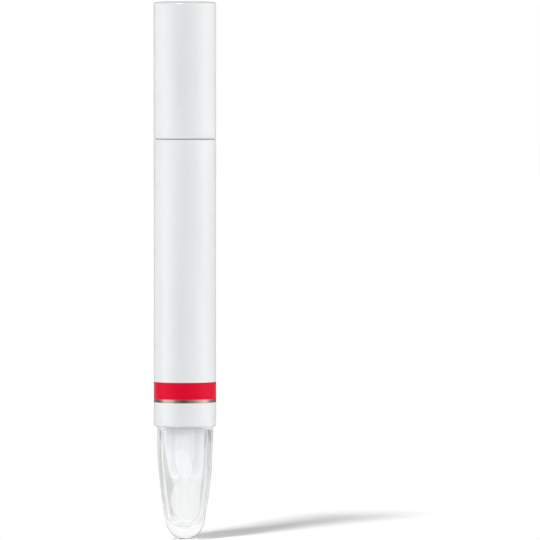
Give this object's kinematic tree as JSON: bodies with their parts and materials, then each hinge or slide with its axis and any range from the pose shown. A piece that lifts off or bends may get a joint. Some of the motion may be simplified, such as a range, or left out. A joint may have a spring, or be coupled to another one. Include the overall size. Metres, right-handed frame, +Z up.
{
  "type": "nail oil pen",
  "caption": "Capped white pen that feeds nail oil from a fibre reservoir to a felt tip, with spare tips kept in its clear nose.",
  "frame": {"origin": "lowest point of the clear nose, on the pen's axis", "axes": "+Z up along the pen's axis to the cap, -Y towards the pictured front"},
  "size_m": [0.014, 0.014, 0.1205],
  "materials": {
    "white_plastic": "polished injection moulding",
    "clear_plastic": "clear, polished",
    "red_print": "glossy red print",
    "bronze_foil": "hot-stamped bronze foil",
    "moulded_insert": "natural moulded polypropylene",
    "felt": "bonded fibre, ground ends",
    "reservoir_fibre": "bundled fibre, soaked with oil",
    "reservoir_wrap": "thin film"
  },
  "bodies": {
    "barrel": {"barrel": "white_plastic", "bronze_band": "bronze_foil", "red_band": "red_print", "rear_plug": "moulded_insert", "reservoir_core": "reservoir_fibre", "reservoir_film": "reservoir_wrap", "tip_holder": "moulded_insert"},
    "cap": {"cap_shell": "white_plastic", "cap_liner": "moulded_insert"},
    "clear_end": {"clear_end": "clear_plastic"},
    "applicator_tip": {"applicator_tip": "felt"},
    "spare_tip_1": {"spare_tip_1": "felt"},
    "spare_tip_2": {"spare_tip_2": "felt"},
    "spare_tip_3": {"spare_tip_3": "felt"}
  },
  "joints": [
    {"name": "cap_pull", "type": "slide", "parent": "barrel", "child": "cap", "axis": [0, 0, 1], "range_m": [0, 0.035]},
    {"name": "barrel_pull", "type": "slide", "parent": "clear_end", "child": "barrel", "axis": [0, 0, 1], "range_m": [0, 0.03]},
    {"name": "applicator_tip_pull", "type": "slide", "parent": "barrel", "child": "applicator_tip", "axis": [0, 0, 1], "range_m": [0, 0.009]},
    {"name": "spare_tip_1_lift", "type": "slide", "parent": "clear_end", "child": "spare_tip_1", "axis": [0, 0, 1], "range_m": [0, 0.0196]},
    {"name": "spare_tip_2_lift", "type": "slide", "parent": "clear_end", "child": "spare_tip_2", "axis": [0, 0, 1], "range_m": [0, 0.0196]},
    {"name": "spare_tip_3_lift", "type": "slide", "parent": "clear_end", "child": "spare_tip_3", "axis": [0, 0, 1], "range_m": [0, 0.0196]}
  ]
}
